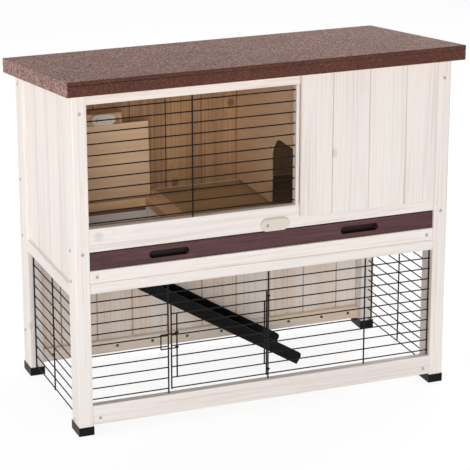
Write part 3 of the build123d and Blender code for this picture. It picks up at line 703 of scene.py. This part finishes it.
FELT_TONES = ((0.105, 0.046, 0.036), (0.25, 0.125, 0.103), (0.56, 0.405, 0.36))
BOARD_TONES = ((0.064, 0.021, 0.014), (0.115, 0.037, 0.025), (0.20, 0.09, 0.07))
felt_grit = grit("felt_grit", 420.0, FELT_TONES, roughness=0.7)
board_grit = grit("board_grit", 900.0, BOARD_TONES, roughness=0.65)
LIP_T = 0.0016
LIP_GAP = 0.0004
FASCIA_EDGE = 0.0008
FELT_EDGE = 0.0022
NEAR = 0.0005
SIDEWAYS = 0.6


def set_back(mesh, distance):
    """Moves the front face back under the lip."""
    for vert in mesh.verts:
        if vert.co.y < ROOF_Y0 + NEAR:
            vert.co.y += distance


mesh = solid("roof_fascia")
set_back(mesh, LIP_T)
round_edges(mesh, FASCIA_EDGE)
# The front board is marked to take the painted shadow under the lip.
layer = mesh.faces.layers.float.new("under_lip")
for face in mesh.faces:
    face[layer] = 1.0
piece("roof_fascia_board", mesh, board_grit, "roof_fascia")

mesh = solid("roof_felt")
set_back(mesh, LIP_T + LIP_GAP)
round_edges(mesh, FELT_EDGE)
# Painted light: the folded ends are marked to come out paler.
layer = mesh.faces.layers.float.new("flap")
for face in mesh.faces:
    face[layer] = 1.0 if abs(face.normal.x) > SIDEWAYS else 0.0
piece("roof_felt_sheet", mesh, felt_grit, "roof_felt")

LIP_STEPS = 120
LIP_END = 0.4834
LIP_WAVE = 0.0003
WAVE_KEPT = 0.7
LIP_BEND = [(0.0028, 0), (0.0012, 0.0003), (0.0003, 0.0012), (0, 0.0026)]
LIP_INSIDE = [(LIP_T, 0.003), (0.0028, 0.003)]
LIP_CORNER = (0.0004, 0.0012)
mesh = bmesh.new()
rows = []
wave = 0.0
for step in range(LIP_STEPS + 1):
    wave = WAVE_KEPT * wave + look_dice.uniform(-LIP_WAVE, LIP_WAVE)
    drop = LIP_DROP + wave
    outline = LIP_BEND + [(0, drop - LIP_CORNER[1]), (LIP_CORNER[0], drop), (LIP_T, drop)] + LIP_INSIDE
    x = LIP_END * (2 * step / LIP_STEPS - 1)
    points = [(x, ROOF_Y0 + back, ROOF_TOP + ROOF_SLOPE * back - down) for back, down in outline]
    rows.append([mesh.verts.new(point) for point in points])
for row, after in zip(rows, rows[1:]):
    for corner in range(len(row)):
        mesh.faces.new((row[corner - 1], row[corner], after[corner], after[corner - 1])).smooth = True
mesh.faces.new(rows[0])
mesh.faces.new(reversed(rows[-1]))
bmesh.ops.recalc_face_normals(mesh, faces=mesh.faces)
piece("roof_felt_lip", mesh, board_grit, body="roof")


# Hinges: two steel butts under the roof's back edge, three screws to a leaf.
# The fixed leaf stands against the back rail, the other lies under the roof.
HINGE_X = 0.3
SCREW_STEP = 0.02
LEAF_T = 0.0015
LEAF_SCREW = (0.0028, 0.0011)
SCREW_UP = 0.010
SCREW_IN = 0.008
ROOF_EDGE = 0.035
repaint("hinge_leaves_fixed", zinc.data)
repaint("hinge_leaves_roof", zinc.data)
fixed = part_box("hinge_leaves_fixed")
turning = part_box("hinge_leaves_roof")
upright = bmesh.new()
lying = bmesh.new()
for x in [side * HINGE_X + step * SCREW_STEP for side in (-1, 1) for step in (-1, 0, 1)]:
    place = (x, fixed[0].y + LEAF_T, fixed[0].z + SCREW_UP)
    pan_head(upright, *LEAF_SCREW, standing(place, BEHIND, look_dice.uniform(*ANY_TURN)))
    y = turning[1].y - SCREW_IN
    place = (x, y, ROOF_TOP - ROOF_EDGE + ROOF_SLOPE * (y - ROOF_Y0) - LEAF_T)
    pan_head(lying, *LEAF_SCREW, standing(place, (0, ROOF_SLOPE, -1), look_dice.uniform(*ANY_TURN)))
piece("hinge_screws_fixed", upright, zinc.data, body="frame")
piece("hinge_screws_roof", lying, zinc.data, body="roof")


# Stage: a wide pale floor that the camera sees as white, with a soft shadow kept on it.
# Three square softboxes and an even white sky light the hutch at a plain level.
def seen(finish):
    """1 for rays that show the background to the camera, to metal or through glass."""
    kinds = ("Is Camera Ray", "Is Glossy Ray", "Is Transmission Ray")
    first, second, third = [finish.node("ShaderNodeLightPath", {}, {}, kind) for kind in kinds]
    return first.maths("MAXIMUM", first.maths("MAXIMUM", first, second), third)


FLOOR_HALF = 9.0
FLOOR_DROP = 0.0004
GLOW = 1.06
GLOW_SHARE = 0.84
mesh = bmesh.new()
bmesh.ops.create_grid(mesh, x_segments=1, y_segments=1, size=FLOOR_HALF)
ground = bpy.data.meshes.new("floor")
mesh.to_mesh(ground)
mesh.free()
paper = Finish("floor_paper")
glow = paper.node("ShaderNodeEmission", {}, {"Color": (1, 1, 1), "Strength": GLOW})
paper.set(Base_Color=(0.95, 0.945, 0.935), Roughness=0.9)
blend = {0: seen(paper) * GLOW_SHARE, 1: Tone(paper, paper.shader.outputs[0]), 2: glow}
paper.feed(paper.tree.nodes["Material Output"].inputs[0], paper.node("ShaderNodeMixShader", {}, blend))
ground.materials.append(paper.data)
floor = bpy.data.objects.new("floor", ground)
bpy.context.scene.collection.objects.link(floor)
floor.location.z = cad_box[0].z - FLOOR_DROP

AMBIENT = 0.38
sky = Finish("sky", bpy.data.worlds.new("sky"))
bpy.context.scene.world = sky.data
sky.feed(sky.tree.nodes["Background"].inputs["Color"], (1, 1, 1))
sky.feed(sky.tree.nodes["Background"].inputs["Strength"], seen(sky) * (1.0 - AMBIENT) + AMBIENT)

aim = Vector((0.0085, -0.0034, 0.3638))


def softbox(name, place, size, watts):
    """Square area lamp turned to the object."""
    lamp = bpy.data.lights.new(name, "AREA")
    lamp.size = size
    lamp.energy = watts
    made = bpy.data.objects.new(name, lamp)
    made.location = place
    made.rotation_euler = (aim - Vector(place)).to_track_quat("-Z", "Y").to_euler()
    bpy.context.scene.collection.objects.link(made)


softbox("front", (-1.9, -6.0, 1.4), size=3.0, watts=196)
softbox("left", (-4.0, 0.4, 1.7), size=2.0, watts=57)
softbox("top", (2.3, 1.9, 2.5), size=2.0, watts=61)


# Camera: a long lens ahead of the hutch, to its left and above it, as in the photograph.
# It has no shift, so the hutch stays in frame from other sides too.
AZIMUTH = math.radians(-21.483)
ELEVATION = math.radians(18.423)
REACH = 5.0951
LENS = 160.81
SENSOR = 36.0
lens = bpy.data.cameras.new("camera")
lens.lens = LENS
lens.sensor_width = SENSOR
camera = bpy.data.objects.new("camera", lens)
level = math.cos(ELEVATION)
back = Vector((math.sin(AZIMUTH) * level, -math.cos(AZIMUTH) * level, math.sin(ELEVATION)))
camera.location = aim + back * REACH
camera.rotation_euler = (-back).to_track_quat("-Z", "Y").to_euler()
bpy.context.scene.collection.objects.link(camera)
bpy.context.scene.camera = camera
bpy.context.scene.view_settings.view_transform = "Standard"
